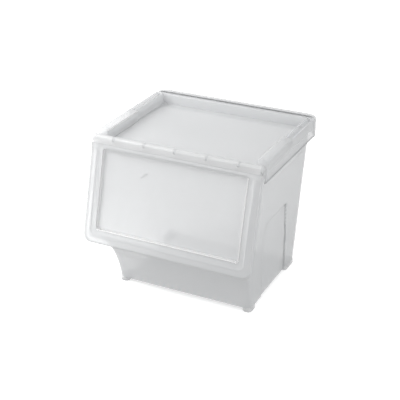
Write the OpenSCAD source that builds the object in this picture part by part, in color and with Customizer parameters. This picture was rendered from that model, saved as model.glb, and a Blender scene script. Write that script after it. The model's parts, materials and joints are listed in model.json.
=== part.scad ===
// Stackable storage bin with a flip-up front flap.
// Origin: on the floor, under the middle of the bin. +X right, front towards -Y, +Z up.

/* [Overall] */
// Width over the rear rim
bin_w = 450; // [446:1:456]
// Depth from the foot of the flap to the back of the rear rim
bin_d = 426; // [424:1:432]
// Height to the top of the rails
bin_h = 420; // [416:1:424]

/* [Tub] */
// Wall thickness of the tub
wall_t = 2.5; // [2:0.1:3]
// Width of the tub at its floor
base_w = 372; // [368:1:376]
// Where the foot of the front wall stands, along Y
base_front = -107; // [-112:1:-102]
// Where the foot of the rear wall stands, along Y
base_rear = 184; // [182:1:186]
// Outward lean of the side walls, as a slope
side_draft = 0.065; // [0.06:0.001:0.07]
// Outward lean of the rear wall, as a slope
rear_draft = 0.025; // [0.02:0.001:0.03]
// Height of the top edge of the tub walls
wall_top = 400; // [398:0.5:400]
// Height of the lip under the front opening
lip_z = 172; // [168:1:180]
// Width of the rim flange around the front opening
rim_w = 432; // [428:1:436]
// How far the arched side panels are set in
arch_depth = 3; // [1:0.5:4]

/* [Feet] */
// Clearance between the tub floor and the ground
foot_h = 8; // [6:0.5:10]
// Width of one corner foot, along X
foot_w = 28; // [24:1:32]
// Length of a front foot, along Y
foot_front_d = 40; // [32:1:44]
// Length of a rear foot, along Y
foot_rear_d = 64; // [40:1:66]
// Height that a foot wraps up the tub corner
foot_wrap = 14; // [12:1:26]

/* [Top cover] */
// Depth of the stacking tray below the rail tops
tray_depth = 29; // [26:1:32]
// Height of the skirt that hangs from the rail tops
skirt_h = 49; // [44:1:54]
// Width of a side rail
rail_w = 20.8; // [19:0.1:22]
// Height of the ledge on the rails' outer faces below the rail tops
ledge_drop = 27; // [24:1:30]
// Length of the raised block on the front part of each rail
block_len = 145; // [120:1:160]
// Width of the rear rim, front to back
rim_d = 32; // [30:1:34]
// Corner radius of the rear rim
rim_r = 20; // [14:1:24]

/* [Flap] */
// Lean of the closed flap from the vertical
lean = 14.8; // [13:0.1:16]
// Height of the flap below its hinge axis
flap_h = 260; // [256:1:262]
// Width of the flap
flap_w = 448; // [444:1:449]
// Thickness over the flap border
flap_t = 12; // [11:0.5:13]
// Width of the border at the sides
border_side = 34; // [30:1:38]
// Width of the border at the foot
border_foot = 37; // [32:1:40]
// Depth of the band between the hinge and the panel
band_h = 22; // [20:1:24]
// Radius of the lower corners
flap_r = 20; // [14:1:26]

/* [Hinge] */
// Height of the hinge axis
hinge_z = 407; // [405:0.5:408]
// Radius of the hinge barrel
barrel_r = 9.5; // [9:0.1:10]
// Radius of the hinge rod
rod_r = 2.5; // [2:0.1:3]
// Distance between two neighbouring hinge ears
ear_pitch = 82; // [76:1:86]
// Thickness of one hinge ear
ear_t = 4; // [3:0.5:5]

/* [Hidden] */
$fn = 64;
gap = 0.3;
skin_t = 2.5;
cover_t = 3;
floor_top = foot_h + 3;

// Hinge axis, placed so that the foot of the flap is the foremost point
hinge_y = -bin_d / 2 + barrel_r * cos(lean) + flap_h * sin(lean);
flap_back = flap_t - barrel_r;

// Plane of the opening rim, just behind the closed flap
rim_off = flap_back + gap;
function rim_y(z) = hinge_y + rim_off / cos(lean) + (z - hinge_z) * tan(lean);

// Hopper front: one arc from the foot of the front wall out to the lip
foot_lean = 3;
lip_y = rim_y(lip_z);
chord = [base_front - lip_y, lip_z - foot_h];
lip_lean = 2 * atan2(chord[0], chord[1]) - foot_lean;
hopper_r = norm(chord) / (2 * sin((lip_lean - foot_lean) / 2));
hopper_c = [base_front - hopper_r * cos(foot_lean), foot_h - hopper_r * sin(foot_lean)];
hopper_steps = 12;
function hopper_at(r, t) = hopper_c + r * [cos(t), sin(t)];
function hopper_start(r, z) = asin((z - hopper_c[1]) / r);
function hopper(off, z_foot) =
    let (r = hopper_r + off, t0 = hopper_start(r, z_foot))
    [for (i = [0:hopper_steps]) hopper_at(r, t0 + (lip_lean - t0) * i / hopper_steps)];

// Half width and rear face of the tub at a height
function side_x(z) = base_w / 2 + (z - foot_h) * side_draft;
function rear_y(z) = base_rear + (z - foot_h) * rear_draft;

// Top cover levels
deck_top = bin_h - tray_depth;
deck_z = deck_top - cover_t;
skirt_z = bin_h - skirt_h;
rail_x = bin_w / 2 - 1.2;
ledge_z = bin_h - ledge_drop;
rail_in = rail_x - rail_w;
seat_top = wall_top + cover_t + gap;
groove_top = bin_h - 8;
rear_in = bin_d / 2 - rim_d;
rail_front = hinge_y + 6.5;
rail_slope = [[rail_front, skirt_z + 9], [rail_front + 19, bin_h]];
block_in = rail_in - 5;
block_rear = rail_slope[1][0] + block_len;
beam_y = hinge_y + barrel_r + 1;
deck_x = rail_in + 1;
rivet_at = [rail_in + 3.5, rail_slope[1][0] + 12];
rivet_r = 2.5;
rivet_head = 3.5;

// Flap panel, in the plane of the flap with the hinge axis at z = 0
panel_x = flap_w / 2 - border_side;
panel_low = -flap_h + border_foot;
panel_r = 6;
cap_t = 6;
barrel_x = flap_w / 2 - cap_t;
ears = [-2, -1, 0, 1, 2] * ear_pitch;
rod_half = barrel_x - 5;
rib_z = -116;

pp = [0.93, 0.95, 0.96, 0.75];
pp_clip = [0.88, 0.90, 0.92];

// Helpers ---------------------------------------------------------------

// Outline given as [y, z] points, extruded across the width from x0 to x1
module across(points, x0, x1) {
    translate([x0, 0, 0]) rotate([90, 0, 90]) linear_extrude(x1 - x0) polygon(points);
}

// Outline given as [x, z] points, extruded front to back from y0 to y1
module along(points, y0, y1) {
    translate([0, y1, 0]) rotate([90, 0, 0]) linear_extrude(y1 - y0) polygon(points);
}

module cyl_x(r, x0, x1) {
    translate([x0, 0, 0]) rotate([0, 90, 0]) cylinder(r = r, h = x1 - x0);
}

module mirror_copy() {
    children();
    mirror([1, 0, 0]) children();
}

// Rectangle from corner a to corner b with its four corners rounded
module round_rect(a, b, r) {
    translate([a[0] + r, a[1]]) square([b[0] - a[0] - 2 * r, b[1] - a[1]]);
    translate([a[0], a[1] + r]) square([b[0] - a[0], b[1] - a[1] - 2 * r]);
    for (x = [a[0] + r, b[0] - r], y = [a[1] + r, b[1] - r]) translate([x, y]) circle(r);
}

// Places children drawn in the plane of the flap: x across, z up from the hinge axis
module in_flap_plane() {
    translate([0, hinge_y, hinge_z]) rotate([-lean, 0, 0]) children();
}

// A flat shape drawn as [x, z], from depth y0 to y1
module plate(y0, y1) {
    translate([0, y1, 0]) rotate([90, 0, 0]) linear_extrude(y1 - y0) children();
}

// Tub -------------------------------------------------------------------

// Solid outer form of the tub, grown outwards by g
module tub_form(g) {
    low = foot_h - g;
    side = concat(hopper(-g, low), [
        [rim_y(deck_z - 2), deck_z - 2],
        [beam_y + 2, deck_z + 4],
        [beam_y + 6, wall_top],
        [rear_y(wall_top) + g, wall_top],
        [rear_y(low) + g, low]]);
    half = [side_x(low) + g, side_x(wall_top) + g];
    intersection() {
        across(side, -bin_w / 2, bin_w / 2);
        along([[-half[0], low], [half[0], low], [half[1], wall_top], [-half[1], wall_top]],
              -bin_d / 2, bin_d / 2);
    }
}

// Room inside the tub, open at the front above the lip and open at the top
module tub_room() {
    top = bin_h + 20;
    floor_line = hopper(wall_t, floor_top);
    lip = floor_line[hopper_steps];
    side = concat(floor_line, [
        [-bin_d, lip[1]],
        [-bin_d, top],
        [rear_y(top) - wall_t, top],
        [rear_y(floor_top) - wall_t, floor_top]]);
    half = [side_x(floor_top) - wall_t, side_x(top) - wall_t];
    intersection() {
        across(side, -bin_w / 2, bin_w / 2);
        along([[-half[0], floor_top], [half[0], floor_top], [half[1], top], [-half[1], top]],
              -bin_d - 1, bin_d / 2);
    }
}

// Arched outline of the set-in side panel, open at the foot
arch_top = 229;
arch_r = 37;
arch_foot = [-42, 118];
arch_shoulder = [-66, 74];
arch_outline = concat(
    [[arch_foot[1], 0], [arch_foot[0], 0]],
    [for (t = [180:-15:90])
        [arch_shoulder[0] + arch_r, arch_top - arch_r] + arch_r * [cos(t), sin(t)]],
    [[arch_shoulder[1], arch_top]]);

// What the arch takes off a wall whose face is inset by t
module arch_cut(t) {
    top = arch_top + 20;
    inset = t + arch_depth;
    mirror_copy() intersection() {
        across(arch_outline, 0, bin_w / 2);
        along([[side_x(0) - inset, 0], [bin_w / 2, 0], [bin_w / 2, top], [side_x(top) - inset, top]],
              -bin_d / 2, bin_d / 2);
    }
}

module foot_places() {
    for (x = [-1, 1], y = [0, 1]) translate([foot_x(x), foot_y(y), 0]) children();
}

function foot_x(side) = side * (side_x(0) + 2 - foot_w / 2);
function foot_d(rear) = rear == 1 ? foot_rear_d : foot_front_d;
function foot_y(rear) =
    rear == 1 ? base_rear + 2 - foot_d(1) / 2 : base_front - 2 + foot_d(0) / 2;
foot_stem_r = 4;

module tub() {
    color(pp) difference() {
        union() {
            difference() {
                tub_form(0);
                arch_cut(0);
            }
            in_flap_plane() plate(rim_off, rim_off + skin_t)
                translate([-rim_w / 2, -flap_h + 10])
                    square([rim_w, flap_h - 10 - band_h - 2]);
        }
        difference() {
            tub_room();
            arch_cut(wall_t);
        }
        foot_places() cylinder(r = foot_stem_r + 0.05, h = floor_top + 1);
    }
}

// A corner cap under the tub, with a stem pressed into the floor
module foot(side, rear) {
    at = [foot_x(side), foot_y(rear), 0];
    color(pp_clip) {
        difference() {
            translate(at) linear_extrude(foot_wrap)
                round_rect([-foot_w / 2, -foot_d(rear) / 2], [foot_w / 2, foot_d(rear) / 2], 5);
            tub_form(0.1);
        }
        translate(at + [0, 0, foot_h - 1]) cylinder(r = foot_stem_r, h = floor_top - foot_h + 1);
    }
}

// Top cover -------------------------------------------------------------

// Keeps what lies behind the sloped front ends of the rails
module rail_ends_cut() {
    a = rail_slope[0];
    b = rail_slope[1];
    difference() {
        children();
        across([[a[0] - 60, 0], [a[0], 0], a, b, [b[0], b[1] + 9], [a[0] - 60, b[1] + 9]],
               -bin_w, bin_w);
    }
}

// Rear stretch of the right rail: two lips with a groove between them
module rail_grooved() {
    inner = rail_in + cover_t;
    outer = rail_x - cover_t;
    along([[rail_in, deck_z], [rail_in, bin_h - 1.5], [rail_in + 1.5, bin_h], [inner, bin_h],
           [inner, groove_top], [outer - 1, groove_top], [outer - 1, bin_h],
           [rail_x - 1.5, bin_h], [rail_x, bin_h - 1.5], [rail_x, ledge_z + 1],
           [bin_w / 2, ledge_z], [bin_w / 2, skirt_z], [outer, skirt_z],
           [outer, groove_top - cover_t], [inner, groove_top - cover_t], [inner, deck_z]],
          block_rear + gap, rear_in - gap);
}

// Front stretch of the right rail: a lower seat for the raised block
module rail_seat() {
    inner = rail_in + cover_t;
    outer = rail_x - cover_t;
    under = seat_top - cover_t;
    along([[rail_in, deck_z], [rail_in, seat_top], [rail_x, seat_top], [rail_x, ledge_z + 1],
           [bin_w / 2, ledge_z], [bin_w / 2, skirt_z], [outer, skirt_z],
           [outer, under], [inner, under], [inner, deck_z]],
          rail_front, block_rear + 2 * gap);
}

// Ears that carry the hinge rod, standing forward from the front beam
module hinge_ears() {
    for (x = ears) translate([x, hinge_y, hinge_z]) {
        cyl_x(barrel_r - 1, -ear_t / 2, ear_t / 2);
        translate([-ear_t / 2, 0, -barrel_r + 1]) cube([ear_t, barrel_r + 2, 6]);
    }
}

// Steps in the deck under the raised blocks and under the rear rim
module cover_rebates() {
    step = 1;
    translate([-deck_x, rear_in - gap, deck_top - step]) cube([2 * deck_x, rim_d, 2 * step]);
    mirror_copy() translate([block_in - gap, beam_y + cover_t, deck_top - step])
        cube([rail_in - block_in + gap, block_rear + gap - beam_y - cover_t, 2 * step]);
}

module top_cover() {
    beam_top = hinge_z - 3.5;
    beam_x = block_in - gap;
    color(pp) difference() {
        union() {
            translate([-deck_x, beam_y, deck_z]) cube([2 * deck_x, rear_in + 6 - beam_y, cover_t]);
            translate([-beam_x, beam_y, deck_z]) cube([2 * beam_x, cover_t, beam_top - deck_z]);
            mirror_copy() rail_ends_cut() {
                rail_grooved();
                rail_seat();
            }
            hinge_ears();
        }
        cover_rebates();
        translate([0, hinge_y, hinge_z]) cyl_x(rod_r + 0.05, -bin_w / 2, bin_w / 2);
        mirror_copy() translate([rivet_at[0], rivet_at[1], deck_z])
            cylinder(r = rivet_r, h = bin_h);
    }
}

// Plan of the rear rim: square in front, rounded at the two rear corners
module rim_plan(inset) {
    x = bin_w / 2 - inset;
    y0 = rear_in + inset;
    y1 = bin_d / 2 - inset;
    r = rim_r - inset;
    translate([-x, y0]) square([2 * x, y1 - y0 - r]);
    translate([-x + r, y0]) square([2 * (x - r), y1 - y0]);
    intersection() {
        for (side = [-1, 1]) translate([side * (x - r), y1 - r]) circle(r);
        translate([-x, y0]) square([2 * x, y1 - y0]);
    }
}

module rear_rim() {
    low = skirt_z - 2;
    reach = rear_in - 1;
    color(pp) difference() {
        translate([0, 0, low]) linear_extrude(bin_h - low) rim_plan(0);
        translate([0, 0, low - 1]) linear_extrude(bin_h - low + 1 - cover_t) rim_plan(cover_t);
        translate([-rail_x + cover_t, reach, low - 1])
            cube([2 * (rail_x - cover_t), cover_t + 2, deck_top + gap - low + 1]);
        mirror_copy() translate([rail_in + cover_t, reach, low - 1])
            cube([rail_w - 2 * cover_t, cover_t + 2, wall_top + 2 - low]);
    }
}

// Raised block on the front part of a rail, a shell that is open below
module rail_block() {
    low = seat_top + gap;
    edge = 2.5;
    color(pp) difference() {
        rail_ends_cut() along(
            [[block_in, deck_top + gap], [block_in, bin_h - edge], [block_in + edge, bin_h],
             [rail_x - edge, bin_h], [rail_x, bin_h - edge], [rail_x, low],
             [rail_in - gap, low], [rail_in - gap, deck_top + gap]],
            rail_front, block_rear);
        along([[rail_in, low - 1], [rail_in, bin_h - cover_t],
               [rail_x - cover_t, bin_h - cover_t], [rail_x - cover_t, low - 1]],
              rivet_at[1] + 8, block_rear - cover_t);
        translate([rivet_at[0], rivet_at[1], deck_z]) cylinder(r = rivet_r, h = bin_h);
        translate([rivet_at[0], rivet_at[1], bin_h - 2]) cylinder(r = rivet_head + 0.1, h = 3);
    }
}

// Push rivet that holds a block to its rail
module block_rivet() {
    low = seat_top - cover_t;
    color(pp_clip) translate([rivet_at[0], rivet_at[1], 0]) {
        translate([0, 0, low]) cylinder(r = rivet_r, h = bin_h - 1 - low);
        translate([0, 0, bin_h - 2]) cylinder(r = rivet_head, h = 2);
    }
}

// Flap ------------------------------------------------------------------

// Outline of the flap below the barrel ends, grown inwards by i
module flap_outline(i) {
    x = flap_w / 2 - i;
    low = -flap_h + i;
    top = -barrel_r - gap - i;
    r = flap_r - i;
    translate([-x, low + r]) square([2 * x, top - low - r]);
    translate([-x + r, low]) square([2 * (x - r), top - low]);
    for (side = [-1, 1]) translate([side * (x - r), low + r]) circle(r);
}

// Outline of the set-in panel, grown outwards by g
module panel_outline(g) {
    round_rect([-panel_x - g, panel_low - g], [panel_x + g, -band_h + g], panel_r + g);
}

module front_flap() {
    color(pp) in_flap_plane() difference() {
        union() {
            plate(-barrel_r, flap_back) flap_outline(0);
            plate(-barrel_r, flap_back) translate([-barrel_x, -barrel_r - 1])
                square([2 * barrel_x, barrel_r + 1]);
            cyl_x(barrel_r, -barrel_x, barrel_x);
            plate(flap_back - 1, flap_back + 2) translate([-panel_x + 4, rib_z - 1])
                square([2 * panel_x - 8, 2]);
        }
        plate(-barrel_r - 1, flap_back - skin_t) panel_outline(0);
        plate(-barrel_r + skin_t, flap_back + 1) difference() {
            flap_outline(skin_t);
            panel_outline(skin_t);
        }
        cyl_x(rod_r + 0.02, -barrel_x - 1, barrel_x + 1);
        for (x = ears) translate([x, 0, 0])
            cyl_x(barrel_r + 2.5, -ear_t / 2 - 0.6, ear_t / 2 + 0.6);
    }
}

module hinge_rod() {
    color(pp_clip) translate([0, hinge_y, hinge_z]) cyl_x(rod_r, -rod_half, rod_half);
}

// Cap on the end of the barrel, with a spigot that keeps the rod in
module hinge_cap() {
    color(pp) translate([0, hinge_y, hinge_z]) {
        cyl_x(barrel_r, barrel_x + 0.1, barrel_x + cap_t);
        cyl_x(rod_r, rod_half + 0.5, barrel_x + 1);
    }
}

tub();
foot(-1, 0);  // foot_front_left
foot(1, 0);  // foot_front_right
foot(-1, 1);  // foot_rear_left
foot(1, 1);  // foot_rear_right
top_cover();
rear_rim();
mirror([1, 0, 0]) rail_block();  // rail_block_left
rail_block();  // rail_block_right
mirror([1, 0, 0]) block_rivet();  // block_rivet_left
block_rivet();  // block_rivet_right
front_flap();
hinge_rod();
mirror([1, 0, 0]) hinge_cap();  // hinge_cap_left
hinge_cap();  // hinge_cap_right
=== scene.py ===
"""Stackable storage bin of frosted plastic with a flip-up front flap.

The frame holds the working parts. This script builds what is seen: thin moulded shells with
fillets, ridges and rounded edges, in translucent polypropylene. Sizes are in millimetres.
"""
import json
import math

import bmesh
import bpy
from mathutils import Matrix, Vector


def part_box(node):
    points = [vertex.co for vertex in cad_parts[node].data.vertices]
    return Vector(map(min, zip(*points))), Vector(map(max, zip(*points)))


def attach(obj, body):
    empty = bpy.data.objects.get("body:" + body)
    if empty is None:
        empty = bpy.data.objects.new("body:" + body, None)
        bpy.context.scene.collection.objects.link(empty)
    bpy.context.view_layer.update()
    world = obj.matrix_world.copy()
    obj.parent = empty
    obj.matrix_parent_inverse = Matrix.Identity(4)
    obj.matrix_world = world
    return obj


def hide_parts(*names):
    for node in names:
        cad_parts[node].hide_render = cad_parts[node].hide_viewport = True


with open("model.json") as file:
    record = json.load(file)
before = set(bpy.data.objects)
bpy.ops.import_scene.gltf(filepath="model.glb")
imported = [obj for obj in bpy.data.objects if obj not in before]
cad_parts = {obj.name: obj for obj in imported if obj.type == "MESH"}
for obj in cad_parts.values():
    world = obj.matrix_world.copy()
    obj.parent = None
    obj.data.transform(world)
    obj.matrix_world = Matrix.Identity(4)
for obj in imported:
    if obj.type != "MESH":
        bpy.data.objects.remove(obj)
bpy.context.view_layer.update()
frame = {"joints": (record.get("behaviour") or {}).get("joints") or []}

MM = 0.001


def node_box(node):
    """The two corners of a CAD node's box, in millimetres."""
    lo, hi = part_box(node)
    return lo / MM, hi / MM


# Sizes ------------------------------------------------------------------------------------

TUB_LO, TUB_HI = node_box("tub")
COVER_LO, COVER_HI = node_box("top_cover")
RIM_LO, RIM_HI = node_box("rear_rim")
BLOCK_LO, BLOCK_HI = node_box("rail_block_right")

HINGE = Vector(frame["joints"][0]["pos_m"]) / MM
LEAN = math.radians(14.8)
TOP = RIM_HI.z
SHELL = 2.5

# Tub: the walls lean outwards from the floor, and the front is one arc out to the lip
FLOOR = TUB_LO.z
WALL_TOP = TUB_HI.z
HALF_AT_FLOOR = 186
REAR_AT_FLOOR = 184
SIDE_DRAFT = 0.065
REAR_DRAFT = 0.025
FRONT_AT_FLOOR = -107
LIP_Z = 172
RIM_GAP = 2.8
TUB_CORNER = 13
LIP_CORNER = 4
STEP_BACK_Z = 386
STEP_BACK = 26

# Flange round the front opening, with heights in the flap's plane, from the hinge axis
FLANGE_X = TUB_HI.x
FLANGE_TOP = -26
FLANGE_LOW = -250

# Arched panel, set in to the side walls
ARCH_TOP = 229
ARCH_R = 37
ARCH_DEPTH = 3
ARCH_SLOPE = 4.5

# Top cover
DECK_TOP = TOP - 29
COVER_T = 3
SKIRT_X = COVER_HI.x
RAIL_X = BLOCK_HI.x
RAIL_W = 20.8
RAIL_IN = RAIL_X - RAIL_W
LEDGE_Z = TOP - 27
SKIRT_Z = COVER_LO.z
# Height of the skirt's lower strip that gets painted shadow, where the skirt stands over the side wall
SKIRT_SHADOW_H = 3.5
SKIRT_SHADOW_TOP = SKIRT_Z + SKIRT_SHADOW_H
SEAT_TOP = 403.3
GROOVE_TOP = TOP - 8
RAIL_FRONT = HINGE.y + 6.5
RAIL_REAR = RIM_LO.y
SLOPE_FOOT = 380
SLOPE_RUN = 19
BLOCK_REAR = BLOCK_HI.y
BEAM_Y = HINGE.y + 10.5
RIM_CROWN = 7
RIM_REAR_R = 26

# Flap, drawn in its own plane with the hinge axis at the origin
FLAP_X = node_box("front_flap")[1].x
FLAP_LOW = -260
FLAP_FACE = -9.5
FLAP_BACK = 2.5
BARREL_R = 9.5
BARREL_X = FLAP_X - 6
PANEL_X = 190
PANEL_LOW = -223
PANEL_TOP = -22
PANEL_LEFT_EDGE = 1.5 - PANEL_X
EAR_PITCH = 82
EAR_T = 4.2
EAR_PLAY = 0.4
EARS = range(-2, 3)
RIB_Z = -116


# Points and faces -------------------------------------------------------------------------

def spread(a, b, count):
    """Evenly spaced values from a to b, both included."""
    return [a + (b - a) * i / (count - 1) for i in range(count)]


def smooth(t):
    """Eases from 0 to 1 as t does, and stays there outside that range."""
    t = min(max(t, 0.0), 1.0)
    return t * t * (3 - 2 * t)


def arc(centre, radius, start, end, count):
    """Points [u, v] on a circle, with angles in degrees."""
    angles = [math.radians(a) for a in spread(start, end, count)]
    return [(centre[0] + radius * math.cos(a), centre[1] + radius * math.sin(a)) for a in angles]


def filleted(corners, steps=4):
    """An outline from corners (u, v, radius), each rounded into the same number of points."""
    outline = []
    count = len(corners)
    for i, (u, v, radius) in enumerate(corners):
        here = Vector((u, v))
        before = Vector(corners[i - 1][:2]) - here
        after = Vector(corners[(i + 1) % count][:2]) - here
        reach = min(radius, before.length * 0.45, after.length * 0.45)
        a = here + before.normalized() * reach
        b = here + after.normalized() * reach
        for t in spread(0, 1, steps):
            outline.append(a * (1 - t) ** 2 + here * 2 * t * (1 - t) + b * t ** 2)
    return outline


def mirrored(points):
    """The same points on the other side of the middle plane, in reverse order."""
    return [Vector((-p[0], p[1], p[2])) for p in reversed(points)]


class Shape:
    """Points in millimetres and the faces between them, before they become a mesh."""

    def __init__(self):
        self.points = []
        self.faces = []

    def row(self, points):
        start = len(self.points)
        self.points.extend(Vector(p) for p in points)
        return list(range(start, len(self.points)))

    def bridge(self, a, b, closed=True):
        """Quads between two rows of the same length."""
        count = len(a)
        for i in range(count if closed else count - 1):
            j = (i + 1) % count
            self.faces.append((a[i], a[j], b[j], b[i]))

    def loft(self, rows, closed=True, caps=True):
        """A skin over rows of points, closed at both ends if caps is true."""
        made = [self.row(r) for r in rows]
        for a, b in zip(made, made[1:]):
            self.bridge(a, b, closed)
        if caps:
            self.faces.append(tuple(reversed(made[0])))
            self.faces.append(tuple(made[-1]))
        return made


def lathe(shape, centre, profile, count=40):
    """Turns [radius, x] points about the X axis through centre."""
    rows = []
    for radius, x in profile:
        ring = arc((centre[1], centre[2]), radius, 0, 360 - 360 / count, count)
        rows.append([(centre[0] + x, y, z) for y, z in ring])
    shape.loft(rows)


def flap_point(x, y, z):
    """A point drawn in the plane of the flap, placed in the frame."""
    return Vector((x,
                   HINGE.y + y * math.cos(LEAN) + z * math.sin(LEAN),
                   HINGE.z - y * math.sin(LEAN) + z * math.cos(LEAN)))


# Materials --------------------------------------------------------------------------------

def frosted(name, colour, alpha, roughness=0.38, mottling=0.03, grain=0.08):
    """Translucent moulded plastic: cloudy tint, satin patches and a fine matt grain."""
    mat = bpy.data.materials.new(name)
    mat.use_nodes = True
    nodes = mat.node_tree.nodes
    link = mat.node_tree.links.new
    shader = nodes["Principled BSDF"]
    shader.inputs["Alpha"].default_value = alpha
    shader.inputs["IOR"].default_value = 1.49
    shader.inputs["Subsurface Weight"].default_value = 0.0

    place = nodes.new("ShaderNodeTexCoord")

    clouds = nodes.new("ShaderNodeTexNoise")
    clouds.inputs["Scale"].default_value = 7.0
    clouds.inputs["Detail"].default_value = 3.0
    link(place.outputs["Object"], clouds.inputs["Vector"])
    tint = nodes.new("ShaderNodeValToRGB")
    tint.color_ramp.elements[0].position = 0.1
    tint.color_ramp.elements[0].color = (*[c * (1 - mottling) for c in colour], 1)
    tint.color_ramp.elements[1].position = 0.9
    tint.color_ramp.elements[1].color = (*colour, 1)
    link(clouds.outputs["Fac"], tint.inputs["Fac"])
    link(tint.outputs["Color"], shader.inputs["Base Color"])

    satin = nodes.new("ShaderNodeTexNoise")
    satin.inputs["Scale"].default_value = 28.0
    satin.inputs["Detail"].default_value = 4.0
    link(place.outputs["Object"], satin.inputs["Vector"])
    satin_range = nodes.new("ShaderNodeMapRange")
    satin_range.inputs["From Min"].default_value = 0.1
    satin_range.inputs["From Max"].default_value = 0.9
    satin_range.inputs["To Min"].default_value = roughness - 0.05
    satin_range.inputs["To Max"].default_value = roughness + 0.07
    link(satin.outputs["Fac"], satin_range.inputs["Value"])
    link(satin_range.outputs["Result"], shader.inputs["Roughness"])

    fine = nodes.new("ShaderNodeTexNoise")
    fine.inputs["Scale"].default_value = 450.0
    fine.inputs["Detail"].default_value = 2.0
    link(place.outputs["Object"], fine.inputs["Vector"])
    bump = nodes.new("ShaderNodeBump")
    bump.inputs["Strength"].default_value = grain
    bump.inputs["Distance"].default_value = 0.0002
    link(fine.outputs["Fac"], bump.inputs["Height"])
    link(bump.outputs["Normal"], shader.inputs["Normal"])
    return mat


CLEAR = (0.90, 0.91, 0.92)
TUB_PLASTIC = frosted("frosted_tub", CLEAR, 0.42)
# Painted light: the rails are tinted lighter as glow and the deck darker as shade; the deck is also
# clearer
RAIL_PLASTIC_PAINTED_GLOW = frosted("frosted_rail_painted_glow", (0.93, 0.94, 0.95), 0.55, roughness=0.3)
DECK_PLASTIC_PAINTED_SHADE = frosted("frosted_deck_painted_shade", (0.88, 0.89, 0.90), 0.42, roughness=0.34)
RIM_PLASTIC = frosted("frosted_rim", (0.90, 0.91, 0.92), 0.52, roughness=0.34)
BARREL_PLASTIC = frosted("frosted_barrel", (0.96, 0.965, 0.97), 0.6, roughness=0.3)
FLAP_PLASTIC = frosted("frosted_flap", CLEAR, 0.42, roughness=0.3)
BORDER_PLASTIC = frosted("frosted_border", (0.86, 0.87, 0.88), 0.55, roughness=0.3)
# Nearly opaque white: a painted highlight on moulded edges, and the thick rib's own colour
PAINTED_HIGHLIGHT_AND_RIB = frosted("frosted_painted_highlight_and_thick_rib", (0.97, 0.97, 0.97), 0.97, roughness=0.25)
# Painted light: a whiter tint on the walls of the flap's step, as if lit
STEP_PAINTED_LIGHT = frosted("frosted_step_painted_light", (0.97, 0.97, 0.97), 0.5, roughness=0.3)
# Painted shade: a dark grey tint put where shade falls on steps and edges
PAINTED_SHADE = frosted("frosted_painted_shade", (0.50, 0.51, 0.52), 0.85, roughness=0.4)
FOOT_PLASTIC = frosted("foot_plastic", (0.90, 0.91, 0.92), 0.35, roughness=0.45)
CLIP_PLASTIC = frosted("clip_plastic", (0.86, 0.87, 0.88), 0.95, roughness=0.25)


# Pieces -----------------------------------------------------------------------------------

def piece(name, shape, body, material, replaced, thickness=0, bevel=0, crease=38,
          accents=(), choose=None):
    """Makes a mesh object from a shape, thickens it away from its normals and rounds its edges.

    choose(centre in mm, normal) gives a face's material: 0 is material, 1 the first accent.
    """
    mesh = bpy.data.meshes.new(name)
    mesh.from_pydata([p * MM for p in shape.points], [], shape.faces)
    work = bmesh.new()
    work.from_mesh(mesh)
    bmesh.ops.remove_doubles(work, verts=work.verts, dist=0.00001)
    if not thickness:
        bmesh.ops.recalc_face_normals(work, faces=work.faces)
    work.to_mesh(mesh)
    work.free()
    obj = bpy.data.objects.new(name, mesh)
    bpy.context.scene.collection.objects.link(obj)
    if thickness:
        wall = obj.modifiers.new("wall", "SOLIDIFY")
        wall.thickness = thickness * MM
        wall.offset = -1
        wall.use_even_offset = True
        wall.thickness_clamp = 0
    if bevel:
        edge = obj.modifiers.new("edge", "BEVEL")
        edge.width = bevel * MM
        edge.segments = 2
        edge.limit_method = "ANGLE"
        edge.angle_limit = math.radians(crease)
    shown = bpy.context.evaluated_depsgraph_get()
    final = bpy.data.meshes.new_from_object(obj.evaluated_get(shown))
    obj.modifiers.clear()
    obj.data = final
    final.polygons.foreach_set("use_smooth", [True] * len(final.polygons))
    final.set_sharp_from_angle(angle=math.radians(crease))
    final.materials.clear()
    for finish in (material, *accents):
        final.materials.append(finish)
    for face in final.polygons:
        face.material_index = choose(face.center / MM, face.normal) if choose else 0
    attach(obj, body)
    for node in replaced:
        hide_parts(node)


# Tub --------------------------------------------------------------------------------------

def rim_y(z):
    """The plane just behind the closed flap, in which the opening's rim lies."""
    return HINGE.y + RIM_GAP / math.cos(LEAN) + (z - HINGE.z) * math.tan(LEAN)


def side_x(z):
    """Half width between the side walls' inner faces at a height."""
    return HALF_AT_FLOOR + (z - FLOOR) * SIDE_DRAFT - SHELL


def rear_y(z):
    """Inner face of the rear wall at a height."""
    return REAR_AT_FLOOR + (z - FLOOR) * REAR_DRAFT - SHELL


def hopper_arc():
    """Centre and radius of the front's inner face, an arc in the YZ plane."""
    lean_foot = math.radians(3)
    run = FRONT_AT_FLOOR - rim_y(LIP_Z)
    rise = LIP_Z - FLOOR
    lean_lip = 2 * math.atan2(run, rise) - lean_foot
    radius = math.hypot(run, rise) / (2 * math.sin((lean_lip - lean_foot) / 2))
    centre = (FRONT_AT_FLOOR - radius * math.cos(lean_foot), FLOOR - radius * math.sin(lean_foot))
    return centre, radius + SHELL


HOPPER_C, HOPPER_R = hopper_arc()


def front_y(z):
    """Inner face of the front wall at a height."""
    return HOPPER_C[0] + math.sqrt(HOPPER_R ** 2 - (z - HOPPER_C[1]) ** 2)


def arch_inset(y, z):
    """How far the side wall is set in at a point: full depth inside the arch, none outside."""
    front = y - (-42 - 0.125 * z)
    rear = (118 - 0.192 * z) - y
    inside = min(front, rear, ARCH_TOP - z)
    centre_y = -66 + ARCH_R
    centre_z = ARCH_TOP - ARCH_R
    if y < centre_y and z > centre_z:
        inside = min(inside, ARCH_R - math.hypot(y - centre_y, z - centre_z))
    return ARCH_DEPTH * smooth(inside / ARCH_SLOPE)


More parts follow.
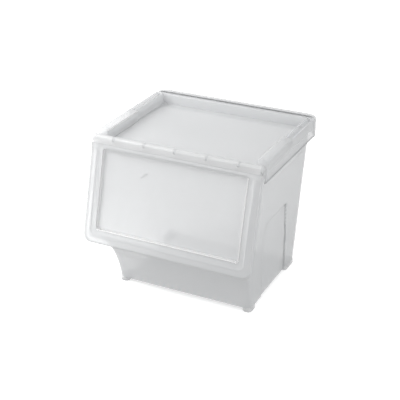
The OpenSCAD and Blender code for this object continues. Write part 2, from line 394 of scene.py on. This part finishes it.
def side_and_rear(z, begin, inset=0):
    """Right half of the tub at a height: along the side from begin, then the rear to the middle."""
    x = side_x(z) - inset
    y = rear_y(z) - inset
    r = max(TUB_CORNER - inset, 1)
    points = [(x - arch_inset(v, z), v, z) for v in spread(begin, y - r, 110)]
    points += [(u, v, z) for u, v in arc((x - r, y - r), r, 0, 90, 7)[1:]]
    points += [(u, y, z) for u in spread(x - r, 8, 8)[1:]]
    return points


def front_half(z, inset=0):
    """Right half of the front wall at a height, from the middle out round the corner."""
    x = side_x(z) - inset
    y = front_y(z) + inset
    r = corner_radius(z, inset)
    points = [(u, y, z) for u in spread(8, x - r, 12)[:-1]]
    points += [(u, v, z) for u, v in arc((x - r, y + r), r, -90, 0, 7)[:-1]]
    return points


def corner_radius(z, inset):
    """The front corners get sharper from the floor up to the lip."""
    taper = (z - FLOOR) / (LIP_Z - FLOOR)
    return max(TUB_CORNER + (LIP_CORNER - TUB_CORNER) * taper - inset, 1)


def closed_row(z, inset=0):
    """The tub's whole plan at a height, below the lip."""
    begin = front_y(z) + inset + corner_radius(z, inset)
    half = [Vector(p) for p in front_half(z, inset) + side_and_rear(z, begin, inset)]
    return half + mirrored(half)


def side_front(z):
    """Where the side wall begins above the lip: on the rim, then stepped back under the cover."""
    step = (z - STEP_BACK_Z) / (WALL_TOP - STEP_BACK_Z)
    return rim_y(min(z, STEP_BACK_Z)) + max(step, 0) * STEP_BACK


def open_row(z):
    """The side and rear walls at a height, above the lip."""
    half = [Vector(p) for p in side_and_rear(z, side_front(z))]
    return half + mirrored(half)


def arch_painted_shade(centre, normal):
    """The step along the arch's rear leg gets painted shade: a darker tint where the step is in shade.
    """
    depth = arch_inset(centre.y, centre.z)
    on_step = abs(normal.x) > 0.5 and 0.4 < depth < ARCH_DEPTH - 0.4
    return 1 if on_step and centre.y > 40 else 0


def make_tub():
    shape = Shape()
    inner = FLOOR + SHELL
    foot_r = 5
    rows = []
    for inset in (30, 18, 9):
        rows.append(closed_row(inner, inset))
    for u, v in arc((foot_r, foot_r), foot_r, 270, 180, 5):
        rows.append(closed_row(inner + v, u))
    rows += [closed_row(z) for z in spread(inner + foot_r, LIP_Z, 54)[1:]]
    made = shape.loft(rows, closed=True, caps=False)
    shape.faces.append(tuple(reversed(made[0])))

    # The side and rear walls go on up from the lip
    front_count = len(front_half(LIP_Z))
    lip = made[-1]
    wall = lip[front_count:len(lip) - front_count]
    upper = spread(LIP_Z, ARCH_TOP + 6, 22)[1:] + spread(ARCH_TOP + 6, WALL_TOP, 30)[1:]
    for z in upper:
        above = shape.row(open_row(z))
        shape.bridge(wall, above, closed=False)
        wall = above
    # Drawn on the inner face: with the faces turned inwards, the wall grows outwards
    shape.faces = [tuple(reversed(face)) for face in shape.faces]
    piece("tub_shell", shape, "bin", TUB_PLASTIC, ["tub"], thickness=SHELL,
          accents=[PAINTED_SHADE], choose=arch_painted_shade)


def make_flange():
    """Flat rim around the front opening, in the plane just behind the flap."""
    lip = (LIP_Z - HINGE.z) / math.cos(LEAN) + 1
    low = FLANGE_LOW
    low_r = 10
    in_r = 5
    in_x = side_x(LIP_Z)
    half = []
    for z in spread(FLANGE_TOP, lip + in_r, 20):
        x = side_x(HINGE.z + z * math.cos(LEAN))
        half.append(((x, z), (FLANGE_X, max(z, low + low_r))))
    turn = zip(arc((in_x - in_r, lip + in_r), in_r, 0, -90, 8),
               arc((FLANGE_X - low_r, low + low_r), low_r, 0, -90, 8))
    half += list(turn)
    for t in spread(0, 1, 10)[1:-1]:
        half.append((((in_x - in_r) * (1 - t), lip), ((FLANGE_X - low_r) * (1 - t), low)))
    path = half + [((-a[0], a[1]), (-b[0], b[1])) for a, b in reversed(half)]
    shape = Shape()
    front = RIM_GAP
    back = RIM_GAP + SHELL
    rows = []
    for a, b in path:
        rows.append([flap_point(a[0], front, a[1]), flap_point(b[0], front, b[1]),
                     flap_point(b[0], back, b[1]), flap_point(a[0], back, a[1])])
    shape.loft(rows)
    piece("tub_rim_flange", shape, "bin", TUB_PLASTIC, [], bevel=0.4)


def make_foot(side, rear):
    """Low corner cap with rounded edges, drawn in a little so that it is flush with the tub's foot."""
    name = f"foot_{'rear' if rear else 'front'}_{'right' if side > 0 else 'left'}"
    lo, hi = node_box(name)
    shape = Shape()
    rows = []
    for inset, z in ((1.6, lo.z), (0.5, lo.z + 0.5), (0, lo.z + 1.6), (0, hi.z - 2), (1.0, hi.z)):
        tuck = inset + 1.5
        x0, x1 = lo.x + tuck, hi.x - tuck
        y0, y1 = lo.y + tuck, hi.y - tuck
        r = 11 - inset
        ring = arc((x1 - r, y1 - r), r, 0, 90, 6) + arc((x0 + r, y1 - r), r, 90, 180, 6)
        ring += arc((x0 + r, y0 + r), r, 180, 270, 6) + arc((x1 - r, y0 + r), r, 270, 360, 6)
        rows.append([(x, y, z) for x, y in ring])
    shape.loft(rows)
    piece(name + "_cap", shape, "bin", FOOT_PLASTIC, [name], bevel=0.3)


# Top cover --------------------------------------------------------------------------------

def slope_y(z):
    """Front end of the rails at a height: upright, then sloped back."""
    return RAIL_FRONT + max(z - SLOPE_FOOT, 0) * SLOPE_RUN / (TOP - SLOPE_FOOT)


def cover_section(grooved):
    """Right half of the cover's section, as (x, z, radius): deck, inner lip, groove and skirt."""
    inner = RAIL_IN + COVER_T
    outer = RAIL_X - COVER_T
    if grooved:
        upper = [(RAIL_IN, TOP, 1.2), (inner, TOP, 1.2), (inner, GROOVE_TOP, 1),
                 (outer - 1, GROOVE_TOP, 1), (outer - 1, TOP, 1), (RAIL_X, TOP, 1.6)]
        under = GROOVE_TOP - COVER_T
    else:
        upper = [(x, SEAT_TOP, 0.3) for x in spread(RAIL_IN, RAIL_X - 1, 5)]
        upper.append((RAIL_X, SEAT_TOP, 0.6))
        under = SEAT_TOP - COVER_T
    lower = [(RAIL_X, LEDGE_Z + 1, 0.5), (SKIRT_X, LEDGE_Z, 0.9), (SKIRT_X, SKIRT_SHADOW_TOP, 0.3),
             (SKIRT_X, SKIRT_Z, 0.8), (outer, SKIRT_Z, 0.8), (outer, under, 1), (inner, under, 1),
             (inner, DECK_TOP - COVER_T, 2), (RAIL_IN - 6, DECK_TOP - COVER_T, 0.5)]
    return [(RAIL_IN - 6, DECK_TOP, 0.5), (RAIL_IN, DECK_TOP, 3)] + upper + lower


def cover_row(grooved, y):
    """The whole section at one place along Y; y None puts it on the sloped front end."""
    right = cover_section(grooved)
    left = [(-x, z, r) for x, z, r in reversed(right)]
    outline = filleted(right + left)
    return [(p.x, slope_y(p.y) if y is None else y, p.y) for p in outline]


def cover_tint_and_painted_shade(centre, normal):
    """The skirt's lower strip gets painted shadow, and the deck is clearer than the rails, with a
    darker tint that is painted shade beside their lighter one.
    """
    # Painted shadow on the skirt's lower strip
    if abs(centre.x) > RAIL_X - COVER_T and centre.z < SKIRT_SHADOW_TOP:
        return 2
    return 1 if abs(centre.x) < RAIL_IN and centre.z < DECK_TOP + 1 else 0


def add_beam(shape):
    """Upright beam behind the hinge, with a rounded top."""
    beam = [(BEAM_Y, DECK_TOP - 1, 0.5), (BEAM_Y + COVER_T, DECK_TOP - 1, 0.5),
            (BEAM_Y + COVER_T, HINGE.z - 3.5, 1.2), (BEAM_Y, HINGE.z - 3.5, 1.2)]
    half = BLOCK_LO.x - 0.3
    shape.loft([[(x, p.x, p.y) for p in filleted(beam)] for x in (-half, half)])


def add_ears(shape):
    """Ears that carry the hinge rod: they fill the slots of the barrel, but for a thin seam."""
    outline = arc((0, 0), BARREL_R - 0.1, 60, 180, 16)
    outline += [(0.2 - BARREL_R, -6.5), (-6.5, -9), (0, 0.5 - BARREL_R)]
    outline += [(BEAM_Y + 1 - HINGE.y, 0.5 - BARREL_R), (BEAM_Y + 1 - HINGE.y, -3)]
    for i in EARS:
        rows = []
        start = i * EAR_PITCH - EAR_T / 2 + EAR_PLAY
        for inset, x in ((0.4, 0), (0, 0.4), (0, EAR_T - 0.4), (0.4, EAR_T)):
            shrink = 1 - inset / BARREL_R
            rows.append([(start + x, HINGE.y + y * shrink, HINGE.z + z * shrink)
                         for y, z in outline])
        shape.loft(rows)


def make_cover():
    """The deck, the two rails and their skirts in one moulding, with the beam and the ears."""
    shape = Shape()
    joint = BLOCK_REAR + 0.6
    rows = [cover_row(False, None), cover_row(False, joint - 0.6), cover_row(True, joint),
            cover_row(True, RAIL_REAR - 0.3)]
    shape.loft(rows)
    add_beam(shape)
    add_ears(shape)
    piece("cover_shell", shape, "bin", RAIL_PLASTIC_PAINTED_GLOW, ["top_cover"],
          accents=[DECK_PLASTIC_PAINTED_SHADE, PAINTED_SHADE], choose=cover_tint_and_painted_shade)


def block_painted_highlight(centre, normal):
    """The inner top edge gets a painted highlight: a brighter, nearly opaque tint."""
    return 1 if abs(centre.x) < BLOCK_LO.x + 2.2 and centre.z > TOP - 2.2 else 0


def make_block(side):
    """Raised block on the front part of a rail, with a flat top and a sloped front end."""
    name = "rail_block_" + ("right" if side > 0 else "left")
    section = [(BLOCK_LO.x, DECK_TOP + 0.3, 0.6), (BLOCK_LO.x, TOP, 2.6), (RAIL_X, TOP, 2.6),
               (RAIL_X, SEAT_TOP + 0.3, 0.4),
               (RAIL_IN - 0.3, SEAT_TOP + 0.3, 0.2), (RAIL_IN - 0.3, DECK_TOP + 0.3, 0.3)]
    outline = filleted(section, steps=6)
    shape = Shape()
    centre = Vector(((BLOCK_LO.x + RAIL_X) / 2, (TOP + SEAT_TOP) / 2))
    stations = []
    for inset, step in ((1.2, 0), (0.35, 0.35), (0, 1.2)):
        stations.append((inset, None, step))
    for inset, step in ((0, 1.2), (0.35, 0.35), (1.2, 0)):
        stations.append((inset, BLOCK_REAR, -step))
    rows = []
    for inset, y, step in stations:
        row = []
        for p in outline:
            q = p + (centre - p) * inset / 14
            row.append((side * q.x, (slope_y(q.y) if y is None else y) + step, q.y))
        rows.append(row)
    shape.loft(rows)

    piece(name + "_shell", shape, "bin", RAIL_PLASTIC_PAINTED_GLOW, [name],
          accents=[PAINTED_HIGHLIGHT_AND_RIB], choose=block_painted_highlight)


def make_rivet(side):
    """Push rivet with a low domed head."""
    name = "block_rivet_" + ("right" if side > 0 else "left")
    lo, hi = node_box(name)
    centre = (lo + hi) / 2
    head = (hi.x - lo.x) / 2
    shape = Shape()
    rows = []
    profile = [(1.6, lo.z), (2.4, lo.z + 1), (2.4, hi.z - 2), (head, hi.z - 1.9), (head, hi.z - 0.9),
               (head * 0.8, hi.z - 0.35), (head * 0.45, hi.z - 0.08), (head * 0.12, hi.z)]
    for radius, z in profile:
        rows.append([(x, y, z) for x, y in arc(centre[:2], radius, 0, 345, 24)])
    shape.loft(rows)
    piece(name + "_head", shape, "bin", CLIP_PLASTIC, [name])


def rim_plan(inset):
    """Plan of the rear rim: small radii in front, large ones at the two rear corners."""
    x = RIM_HI.x - inset
    y0 = RIM_LO.y + inset
    y1 = RIM_HI.y - inset
    rear = RIM_REAR_R - inset * 0.8
    front = 2.2 - min(inset, 2) * 0.8
    half = [(u, y0) for u in spread(8, x - front, 14)]
    half += arc((x - front, y0 + front), front, -90, 0, 5)[1:]
    half += arc((x - rear, y1 - rear), rear, 0, 90, 10)
    half += [(u, y1) for u in spread(x - rear, 8, 14)[1:]]
    return half


def rim_row(inset, z=None):
    """One row of the rim's skin. Without a height it is the lower edge, long outside, short inside."""
    half = []
    for (x, y), (mark_x, mark_y) in zip(rim_plan(inset), rim_plan(0)):
        level = z
        if z is None:
            over_deck = DECK_TOP + 0.3 if mark_x < RAIL_IN + 1 else WALL_TOP + 2
            level = over_deck if mark_y < RIM_LO.y + 1.5 else RIM_LO.z
        half.append(Vector((x, y, level)))
    return half + mirrored(half)


def make_rim():
    """Rear rim: a closed skin from its inner face, round the lower edge and over the crown."""
    shape = Shape()
    crown = RIM_CROWN
    rows = [rim_row(9, TOP - COVER_T), rim_row(crown, TOP - COVER_T - 0.4),
            rim_row(COVER_T, TOP - crown), rim_row(COVER_T), rim_row(0.4), rim_row(0)]
    rows.append(rim_row(0, TOP - crown))
    for u, v in arc((crown, crown), crown, 180, 270, 7)[1:]:
        rows.append(rim_row(u, TOP - v))
    rows.append(rim_row(10, TOP))
    shape.loft(rows)
    piece("rear_rim_shell", shape, "bin", RIM_PLASTIC, ["rear_rim"])


# Flap -------------------------------------------------------------------------------------

def flap_ring(x, low, top, r_low, r_top, depth):
    """One ring of the flap's skin, closed: a rounded rectangle at a depth from its face."""
    ring = [(u, low) for u in spread(-x + r_low, x - r_low, 40)]
    ring += arc((x - r_low, low + r_low), r_low, -90, 0, 9)[1:]
    ring += [(x, v) for v in spread(low + r_low, top - r_top, 60)[1:]]
    ring += arc((x - r_top, top - r_top), r_top, 0, 90, 5)[1:]
    ring += [(u, top) for u in spread(x - r_top, -x + r_top, 40)[1:]]
    ring += arc((-x + r_top, top - r_top), r_top, 90, 180, 5)[1:]
    ring += [(-x, v) for v in spread(top - r_top, low + r_low, 60)[1:]]
    ring += arc((-x + r_low, low + r_low), r_low, 180, 270, 9)[1:-1]
    points = []
    for u, v in ring:
        level = depth
        if depth < FLAP_BACK - 4:
            # Towards the top the border's face runs out into the plain band below the hinge
            level += (FLAP_FACE - depth) * smooth((v - PANEL_TOP + 10) / 12)
        points.append(flap_point(u, level, v))
    return points


def flap_section():
    """The border from its back edge to the panel: (distance in from the edge, depth)."""
    return [(0, FLAP_BACK), (0, -5.2), (0.5, -7.4), (1.8, -8.6), (4, -9.0), (13.5, -9.0),
            (15.5, -9.2), (17, FLAP_FACE), (18.5, -9.2), (20.5, -8.4), (23, -8.2), (31, -8.1),
            (32.2, -8.4), (32.9, -8.9), (33.4, -8.9), (33.9, -8.3), (34, -1.2), (34.5, -0.3),
            (35.5, 0), (42, 0)]


def flap_local(point):
    """The inverse of flap_point."""
    y = point.y - HINGE.y
    z = point.z - HINGE.z
    return Vector((point.x, y * math.cos(LEAN) - z * math.sin(LEAN),
                   y * math.sin(LEAN) + z * math.cos(LEAN)))


def flap_tint_and_painted_light(centre, normal):
    """The panel is thin and clear and the border milky; round the panel the step's top wall gets
    painted shadow, its other walls a whiter tint of painted light, and its crest a painted highlight.
    """
    at = flap_local(centre)
    inside = min(PANEL_X - abs(at.x), at.z - PANEL_LOW, PANEL_TOP - at.z)
    if inside > 1:
        return 0
    # Walls of the step: painted shadow on the top one, a whiter tint of painted light on the others
    if inside > -2.8 and at.y > FLAP_FACE + 3.5:
        return 3 if at.z > PANEL_TOP - 1 else 4
    # Painted highlight along the step's crest, left off the top and the far left
    crest = -2.2 < inside < 0.2 and at.z < PANEL_TOP - 1
    return 2 if crest and at.x > PANEL_LEFT_EDGE else 1


def make_flap():
    """The whole flap's skin, from the back of its edge over the border to the set-in panel."""
    shape = Shape()
    section = flap_section()
    edge_r = 20
    rows = []
    for inset, depth in section:
        part = min(inset / 34, 1)
        low = FLAP_LOW + inset + 3 * part
        top = -11 + (PANEL_TOP + 11) * part - max(inset - 34, 0)
        r_low = max(edge_r - inset * 0.32, 6 if inset >= 31 else 9)
        r_top = 2 + 4 * part
        rows.append(flap_ring(FLAP_X - inset, low, top, r_low, r_top, depth))
    made = shape.loft(rows, closed=True, caps=False)
    shape.faces.append(tuple(made[-1]))
    piece("flap_shell", shape, "flap", FLAP_PLASTIC, ["front_flap"],
          thickness=2.2, accents=[BORDER_PLASTIC, PAINTED_HIGHLIGHT_AND_RIB, PAINTED_SHADE, STEP_PAINTED_LIGHT],
          choose=flap_tint_and_painted_light)


def make_barrel():
    """Hinge barrel, cut by a slot at each ear."""
    barrel = Shape()
    slot = EAR_T / 2 + 0.5
    cuts = [-BARREL_X]
    for i in EARS:
        cuts += [i * EAR_PITCH - slot, i * EAR_PITCH + slot]
    cuts.append(BARREL_X)
    outline = [(FLAP_FACE, -11), (FLAP_FACE, -6)]
    outline += arc((0, 0), BARREL_R, 180, -74, 34)
    outline += [(FLAP_BACK, -11)]
    for a, b in zip(cuts[::2], cuts[1::2]):
        rows = []
        for inset, x in ((0.5, a), (0, a + 0.5), (0, b - 0.5), (0.5, b)):
            rows.append([flap_point(x, y * (1 - inset / 12), z * (1 - inset / 12))
                         for y, z in outline])
        barrel.loft(rows)
    # Below the round part of each ear the slot is closed by the border again
    corner = [(FLAP_FACE, -11), (FLAP_FACE, -3)]
    corner += arc((0, 0), BARREL_R + 0.2, 200, 262, 10)
    corner += [(-1, -11)]
    for a, b in zip(cuts[1:-1:2], cuts[2::2]):
        barrel.loft([[flap_point(x, y, z) for y, z in corner] for x in (a - 0.4, b + 0.4)])
    piece("hinge_barrel", barrel, "flap", BARREL_PLASTIC, [])


def make_rib():
    """Stiffening rib across the flap's inner face."""
    rib = Shape()
    bar = filleted([(FLAP_BACK - 0.4, RIB_Z - 1, 0.1), (FLAP_BACK + 2, RIB_Z - 1, 0.8),
                    (FLAP_BACK + 2, RIB_Z + 1, 0.8), (FLAP_BACK - 0.4, RIB_Z + 1, 0.1)])
    half = PANEL_X - 4
    rib.loft([[flap_point(x, p.x, p.y) for p in bar] for x in (-half, half)])
    piece("flap_rib", rib, "flap", PAINTED_HIGHLIGHT_AND_RIB, [])


def make_rod():
    """Hinge rod with chamfered ends, hidden in the barrel."""
    lo, hi = node_box("hinge_rod")
    half = hi.x
    shape = Shape()
    r = (hi.z - lo.z) / 2
    lathe(shape, (0, HINGE.y, HINGE.z),
          [(r - 0.6, -half), (r, 0.6 - half), (r, half - 0.6), (r - 0.6, half)], 24)
    piece("hinge_rod_steel", shape, "flap", CLIP_PLASTIC, ["hinge_rod"])


def make_cap(side):
    """Domed cap on the end of the barrel, with the spigot that keeps the rod in."""
    name = "hinge_cap_" + ("right" if side > 0 else "left")
    profile = [(2.4, BARREL_X - 4.4), (2.4, BARREL_X + 0.1), (BARREL_R - 0.3, BARREL_X + 0.1),
               (BARREL_R, BARREL_X + 0.5), (BARREL_R, FLAP_X - 3), (BARREL_R - 0.6, FLAP_X - 1.4),
               (BARREL_R - 2, FLAP_X - 0.4), (BARREL_R - 4, FLAP_X), (1, FLAP_X)]
    shape = Shape()
    lathe(shape, (0, HINGE.y, HINGE.z), [(r, side * x) for r, x in profile])
    piece(name + "_shell", shape, "flap", FLAP_PLASTIC, [name])


# Studio -----------------------------------------------------------------------------------

# Where the camera stands, in degrees and metres, and its lens in millimetres
CAMERA_AZIMUTH = 26.26
CAMERA_ELEVATION = 26.06
CAMERA_DISTANCE = 2.2753
CAMERA_TARGET = (0.0897, -0.1927, 0.3282)
CAMERA_LENS = 89.56


def make_camera():
    """Looks down on the bin from right of its front."""
    azimuth = math.radians(CAMERA_AZIMUTH)
    elevation = math.radians(CAMERA_ELEVATION)
    target = Vector(CAMERA_TARGET)
    back = Vector((math.sin(azimuth) * math.cos(elevation),
                   -math.cos(azimuth) * math.cos(elevation),
                   math.sin(elevation)))
    data = bpy.data.cameras.new("camera")
    data.lens = CAMERA_LENS
    data.sensor_width = 36
    cam = bpy.data.objects.new("camera", data)
    cam.location = target + back * CAMERA_DISTANCE
    cam.rotation_mode = "QUATERNION"
    cam.rotation_quaternion = (-back).to_track_quat("-Z", "Y")
    bpy.context.scene.collection.objects.link(cam)
    bpy.context.scene.camera = cam


def glow_with_painted_shadow_under_bin(mat, shader):
    """Painted shadow: the floor glows less under the bin, where little light would reach it."""
    nodes = mat.node_tree.nodes
    link = mat.node_tree.links.new
    place = nodes.new("ShaderNodeTexCoord")
    split = nodes.new("ShaderNodeSeparateXYZ")
    link(place.outputs["Object"], split.inputs["Vector"])
    reach = []
    middle = (FRONT_AT_FLOOR + REAR_AT_FLOOR) / 2
    half_y = (REAR_AT_FLOOR - FRONT_AT_FLOOR) / 2
    for axis, centre, half in (("X", 0, HALF_AT_FLOOR), ("Y", middle, half_y)):
        shift = nodes.new("ShaderNodeMath")
        shift.operation = "SUBTRACT"
        shift.inputs[1].default_value = centre * MM
        link(split.outputs[axis], shift.inputs[0])
        size = nodes.new("ShaderNodeMath")
        size.operation = "ABSOLUTE"
        link(shift.outputs[0], size.inputs[0])
        beyond = nodes.new("ShaderNodeMath")
        beyond.operation = "SUBTRACT"
        beyond.inputs[1].default_value = half * MM
        link(size.outputs[0], beyond.inputs[0])
        reach.append(beyond)
    outside = nodes.new("ShaderNodeMath")
    outside.operation = "MAXIMUM"
    link(reach[0].outputs[0], outside.inputs[0])
    link(reach[1].outputs[0], outside.inputs[1])
    fade = nodes.new("ShaderNodeMapRange")
    fade.inputs["From Min"].default_value = -0.01
    fade.inputs["From Max"].default_value = 0.02
    fade.inputs["To Min"].default_value = 0.4
    fade.inputs["To Max"].default_value = 0.75
    link(outside.outputs[0], fade.inputs["Value"])
    link(fade.outputs["Result"], shader.inputs["Emission Strength"])


def make_floor():
    """Plain white floor that glows, so it looks white, with a painted shadow under the bin. It throws
    no light on the bin.
    """
    mesh = bpy.data.meshes.new("floor")
    half = 12
    mesh.from_pydata([(-half, -half, 0), (half, -half, 0), (half, half, 0), (-half, half, 0)],
                     [], [(0, 1, 2, 3)])
    floor = bpy.data.objects.new("floor", mesh)
    bpy.context.scene.collection.objects.link(floor)
    mat = bpy.data.materials.new("floor_white")
    mat.use_nodes = True
    shader = mat.node_tree.nodes["Principled BSDF"]
    shader.inputs["Base Color"].default_value = (0.9, 0.9, 0.9, 1)
    shader.inputs["Roughness"].default_value = 0.9
    shader.inputs["Emission Color"].default_value = (1, 1, 1, 1)
    glow_with_painted_shadow_under_bin(mat, shader)
    mesh.materials.append(mat)
    floor.visible_diffuse = False
    floor.visible_glossy = False


def make_world():
    """Soft studio surround, brighter in front and above than behind."""
    world = bpy.data.worlds.new("studio")
    bpy.context.scene.world = world
    world.use_nodes = True
    nodes = world.node_tree.nodes
    link = world.node_tree.links.new
    place = nodes.new("ShaderNodeTexCoord")
    aim = nodes.new("ShaderNodeVectorMath")
    aim.operation = "DOT_PRODUCT"
    aim.inputs[1].default_value = Vector((-0.15, -0.8, 0.4)).normalized()
    link(place.outputs["Generated"], aim.inputs[0])
    ramp = nodes.new("ShaderNodeMapRange")
    ramp.inputs["From Min"].default_value = -1
    ramp.inputs["From Max"].default_value = 1
    ramp.inputs["To Min"].default_value = 0.33
    ramp.inputs["To Max"].default_value = 0.6
    link(aim.outputs["Value"], ramp.inputs["Value"])
    background = nodes["Background"]
    background.inputs["Color"].default_value = (1, 1, 1, 1)
    link(ramp.outputs["Result"], background.inputs["Strength"])


def soft_box(name, place, target, size, energy):
    """Square area lamp aimed at a target, which the camera doesn't see."""
    data = bpy.data.lights.new(name, "AREA")
    data.shape = "SQUARE"
    data.size = size
    data.energy = energy
    lamp = bpy.data.objects.new(name, data)
    lamp.location = place
    aim = Vector(target) - lamp.location
    lamp.rotation_mode = "QUATERNION"
    lamp.rotation_quaternion = aim.to_track_quat("-Z", "Y")
    lamp.visible_camera = False
    bpy.context.scene.collection.objects.link(lamp)


def make_lights():
    """Near soft boxes above and in front on the left make the fall-off, a wide one fills the right."""
    soft_box("key", (-0.85, -0.35, 1.1), (-0.05, 0, 0.3), 0.7, 9.5)
    soft_box("front", (-0.55, -0.8, 0.06), (-0.05, -0.1, 0.07), 0.4, 2.2)
    soft_box("fill", (1.3, -0.25, 0.7), (0.15, 0, 0.3), 1.0, 5.8)


def set_view():
    """Plain colours, and enough bounces to see through every wall of the bin."""
    scene = bpy.context.scene
    scene.view_settings.view_transform = "Standard"
    scene.cycles.transparent_max_bounces = 32
    scene.cycles.max_bounces = 10


make_camera()
make_world()
make_lights()
make_floor()
set_view()
make_tub()
make_flange()
for side in (-1, 1):
    for rear in (False, True):
        make_foot(side, rear)
    make_block(side)
    make_rivet(side)
    make_cap(side)
make_cover()
make_rim()
make_flap()
make_barrel()
make_rib()
make_rod()
